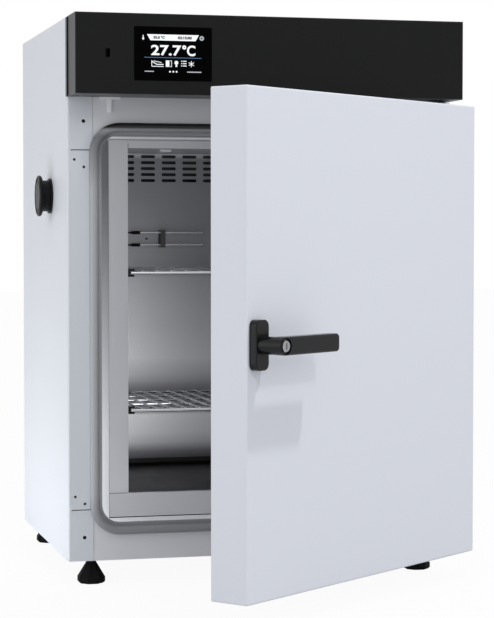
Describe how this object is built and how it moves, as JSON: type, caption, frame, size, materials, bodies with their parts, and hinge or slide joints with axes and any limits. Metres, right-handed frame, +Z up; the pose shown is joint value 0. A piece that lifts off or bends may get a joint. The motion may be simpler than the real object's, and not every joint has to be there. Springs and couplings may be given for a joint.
{
  "type": "laboratory oven",
  "caption": "Free-standing laboratory oven with a hinged solid door, lever handle, dark control panel with display, wire shelves, side port and levelling feet.",
  "frame": {"origin": "on the floor, under the middle of the cabinet body's footprint, between the four feet", "axes": "+Z up, -Y out of the front where the door is, +X to the viewer's right of someone facing the front"},
  "size_m": [0.6351, 0.9158, 0.841],
  "materials": {
    "white_paint": "smooth powder coat",
    "dark_paint": "satin anthracite coat",
    "screen_black": "glossy black screen",
    "stainless_steel": "satin stainless steel",
    "plated_steel": "zinc plated",
    "chrome": "polished",
    "black_plastic": "moulded, fine grain",
    "black_rubber": "matt",
    "grey_rubber": "matt silicone",
    "green_board": "circuit board",
    "aluminium": "plain",
    "mineral_wool": "pressed wool"
  },
  "bodies": {
    "cabinet": {"base_plate": "white_paint", "bottom_frame_strip": "stainless_steel", "bottom_front_rail": "white_paint", "cabinet_gasket": "grey_rubber", "ceiling_clip": "stainless_steel", "chamber_liner": "stainless_steel", "collar_ring": "stainless_steel", "control_panel_shell": "dark_paint", "controller_board": "green_board", "display_glass": "screen_black", "display_module": "black_plastic", "door_sensor_tab": "white_paint", "fan_motor": "aluminium", "heater_element": "stainless_steel", "hinge_pins": "plated_steel", "hinge_screws": "plated_steel", "insulation": "mineral_wool", "left_frame_strip": "stainless_steel", "left_side_panel": "white_paint", "lower_hinge_bracket": "plated_steel", "lower_probe": "stainless_steel", "mains_inlet": "black_plastic", "port_flange": "black_plastic", "port_tube": "stainless_steel", "power_supply": "plated_steel", "probe_boots": "black_rubber", "probe_clip": "stainless_steel", "rear_baffle": "stainless_steel", "rear_cover": "white_paint", "rear_screws": "plated_steel", "right_frame_strip": "stainless_steel", "right_side_panel": "white_paint", "service_deck": "plated_steel", "shelf_clips": "black_plastic", "top_air_lip": "stainless_steel", "top_cover": "white_paint", "top_front_rail": "white_paint", "upper_hinge_bracket": "plated_steel", "upper_probe": "stainless_steel", "usb_socket": "plated_steel"},
    "door": {"door_outer_skin": "white_paint", "door_inner_panel": "stainless_steel", "door_insulation": "mineral_wool", "door_bushes": "plated_steel", "handle_base": "black_plastic", "lock_case": "plated_steel"},
    "lever": {"door_lever": "black_plastic", "lever_spindle": "plated_steel", "lock_cam": "plated_steel"},
    "key": {"key_cylinder": "chrome"},
    "upper_shelf": {"upper_shelf": "stainless_steel"},
    "lower_shelf": {"lower_shelf": "stainless_steel"},
    "front_left_foot": {"front_left_foot": "black_rubber"},
    "rear_left_foot": {"rear_left_foot": "black_rubber"},
    "front_right_foot": {"front_right_foot": "black_rubber"},
    "rear_right_foot": {"rear_right_foot": "black_rubber"},
    "port_plug": {"port_plug": "black_plastic"},
    "fan": {"fan_wheel": "aluminium", "fan_shaft": "plated_steel"}
  },
  "joints": [
    {"name": "door_swing", "type": "hinge", "parent": "cabinet", "child": "door", "pos_m": [0.2815, -0.251, 0.378], "axis": [0, 0, 1], "range_deg": [-38.87, 71.13]},
    {"name": "lever_turn", "type": "hinge", "parent": "door", "child": "lever", "pos_m": [-0.11509, -0.63874, 0.378], "axis": [0.6276, -0.7786, 0], "range_deg": [-90, 0]},
    {"name": "key_turn", "type": "hinge", "parent": "lever", "child": "key", "pos_m": [-0.08371, -0.67767, 0.378], "axis": [0.6276, -0.7786, 0], "range_deg": [-90, 0]},
    {"name": "upper_shelf_slide", "type": "slide", "parent": "cabinet", "child": "upper_shelf", "axis": [0, -1, 0], "range_m": [0, 0.09]},
    {"name": "lower_shelf_slide", "type": "slide", "parent": "cabinet", "child": "lower_shelf", "axis": [0, -1, 0], "range_m": [0, 0.09]},
    {"name": "port_plug_pull", "type": "slide", "parent": "cabinet", "child": "port_plug", "axis": [-1, 0, 0], "range_m": [0, 0.09]},
    {"name": "fan_spin", "type": "hinge", "parent": "cabinet", "child": "fan", "pos_m": [0, 0.173, 0.381], "axis": [0, 1, 0], "continuous": true},
    {"name": "front_left_foot_turn", "type": "hinge", "parent": "cabinet", "child": "front_left_foot", "pos_m": [-0.257, -0.206, 0.028], "axis": [0, 0, 1], "continuous": true},
    {"name": "rear_left_foot_turn", "type": "hinge", "parent": "cabinet", "child": "rear_left_foot", "pos_m": [-0.257, 0.206, 0.028], "axis": [0, 0, 1], "continuous": true},
    {"name": "front_right_foot_turn", "type": "hinge", "parent": "cabinet", "child": "front_right_foot", "pos_m": [0.257, -0.206, 0.028], "axis": [0, 0, 1], "continuous": true},
    {"name": "rear_right_foot_turn", "type": "hinge", "parent": "cabinet", "child": "rear_right_foot", "pos_m": [0.257, 0.206, 0.028], "axis": [0, 0, 1], "continuous": true}
  ]
}
